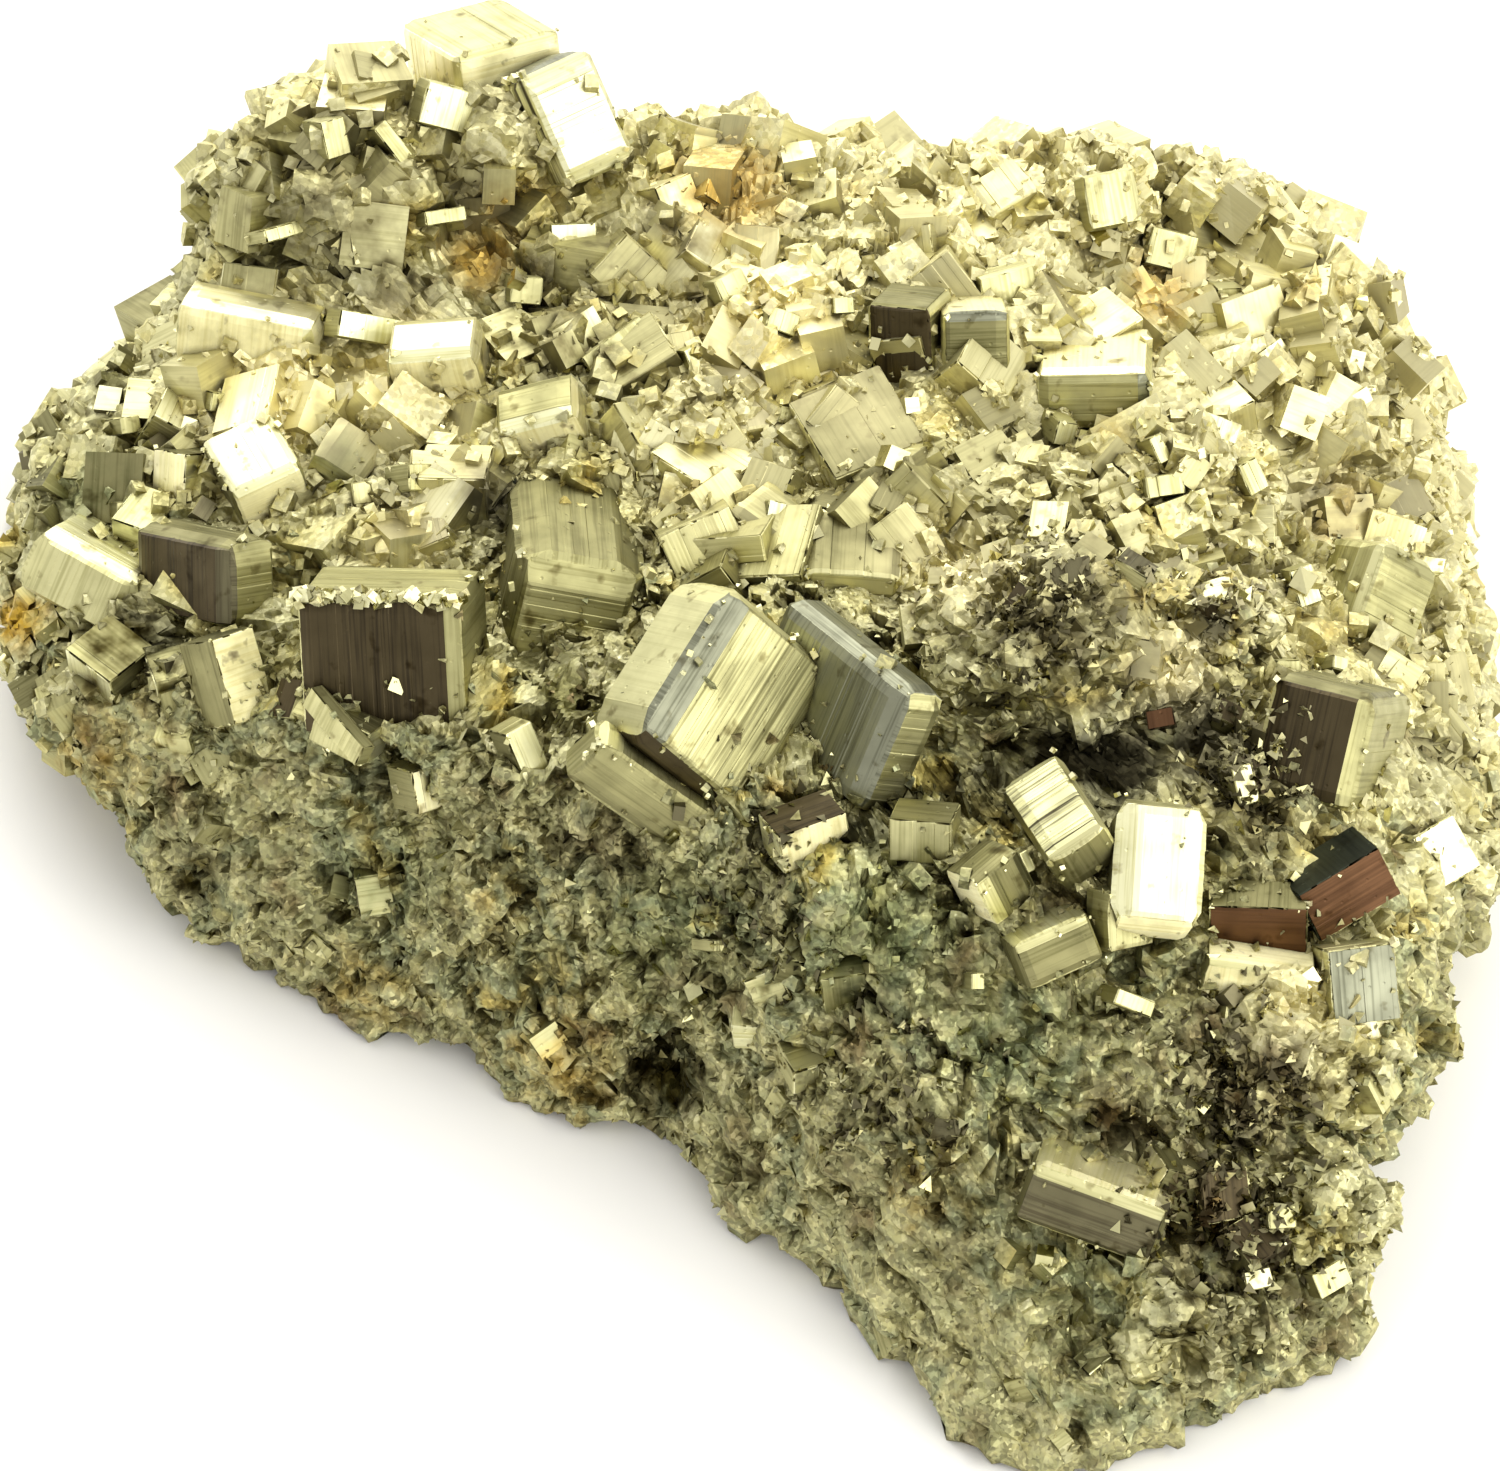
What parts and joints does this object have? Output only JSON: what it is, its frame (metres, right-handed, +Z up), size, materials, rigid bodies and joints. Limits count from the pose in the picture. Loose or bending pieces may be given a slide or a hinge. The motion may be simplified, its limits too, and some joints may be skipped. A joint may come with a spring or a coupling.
{
  "type": "pyrite specimen",
  "caption": "Hand-sized pyrite mineral cluster: intergrown brassy cubic crystals with striated faces on a granular base, broken off flat underneath to rest on a shelf.",
  "frame": {"origin": "middle of the specimen's bounding box, on the flat broken underside that it rests on", "axes": "+X to the right seen from the front, +Y to the back, +Z up from the flat underside; the front is the side of the lobe that slopes down"},
  "size_m": [0.0522, 0.0558, 0.0187],
  "materials": {
    "pyrite": "natural pale brassy metallic mineral, from mirror-bright crystal faces to a dull granular crust, with dark tarnished faces and ochre specks"
  },
  "bodies": {
    "root": {"pyrite_cluster": "pyrite"}
  },
  "joints": []
}
